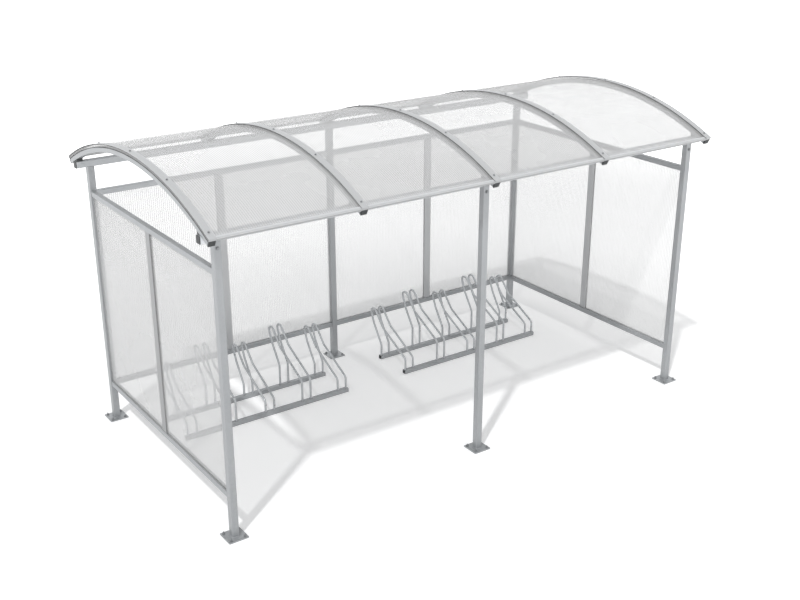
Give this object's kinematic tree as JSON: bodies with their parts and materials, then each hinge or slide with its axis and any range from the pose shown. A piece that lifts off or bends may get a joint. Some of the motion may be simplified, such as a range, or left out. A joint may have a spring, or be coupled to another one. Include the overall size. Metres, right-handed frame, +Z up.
{
  "type": "cycle shelter",
  "caption": "Open-fronted cycle shelter: steel posts and arches, curved fluted clear roof, clear side and rear walls, and floor racks that hold cycles by the front wheel.",
  "frame": {"origin": "on the ground under the middle of the shelter, the centre of its bounding box in X and Y", "axes": "+X runs along the open front to the right as seen from the open side, +Y from the open front to the rear wall, +Z up"},
  "size_m": [4.32, 2.3072, 2.4022],
  "materials": {
    "galvanised_steel": "dull hot-dip zinc, lightly mottled",
    "aluminium": "mill finish, satin",
    "clear_sheet": "fluted twin-wall clear plastic",
    "black_plastic": "moulded, matt",
    "rubber": "extruded, matt"
  },
  "bodies": {
    "root": {"post_front_left": "galvanised_steel", "post_front_middle": "galvanised_steel", "post_front_right": "galvanised_steel", "post_rear_left": "galvanised_steel", "post_rear_middle": "galvanised_steel", "post_rear_right": "galvanised_steel", "base_plates": "galvanised_steel", "beam_front": "galvanised_steel", "beam_rear": "galvanised_steel", "beam_end_caps": "black_plastic", "arch_1": "galvanised_steel", "arch_2": "galvanised_steel", "arch_3": "galvanised_steel", "arch_4": "galvanised_steel", "arch_5": "galvanised_steel", "arch_end_caps": "black_plastic", "arch_wedges": "black_plastic", "roof_seals": "rubber", "top_seals": "rubber", "cover_strips": "aluminium", "roof_sheet_1": "clear_sheet", "roof_sheet_2": "clear_sheet", "roof_sheet_3": "clear_sheet", "roof_sheet_4": "clear_sheet", "roof_trims": "aluminium", "top_rail_left": "galvanised_steel", "top_rail_right": "galvanised_steel", "top_rail_rear": "galvanised_steel", "bottom_rail_left": "galvanised_steel", "bottom_rail_right": "galvanised_steel", "bottom_rail_rear": "galvanised_steel", "mullion_left": "aluminium", "mullion_right": "aluminium", "mullion_rear": "aluminium", "wall_sheets_left": "clear_sheet", "wall_sheets_right": "clear_sheet", "wall_sheets_rear": "clear_sheet", "rack_left_rails": "galvanised_steel", "rack_left_holder_1": "galvanised_steel", "rack_left_holder_2": "galvanised_steel", "rack_left_holder_3": "galvanised_steel", "rack_left_holder_4": "galvanised_steel", "rack_left_holder_5": "galvanised_steel", "rack_right_rails": "galvanised_steel", "rack_right_holder_1": "galvanised_steel", "rack_right_holder_2": "galvanised_steel", "rack_right_holder_3": "galvanised_steel", "rack_right_holder_4": "galvanised_steel", "rack_right_holder_5": "galvanised_steel"}
  },
  "joints": []
}
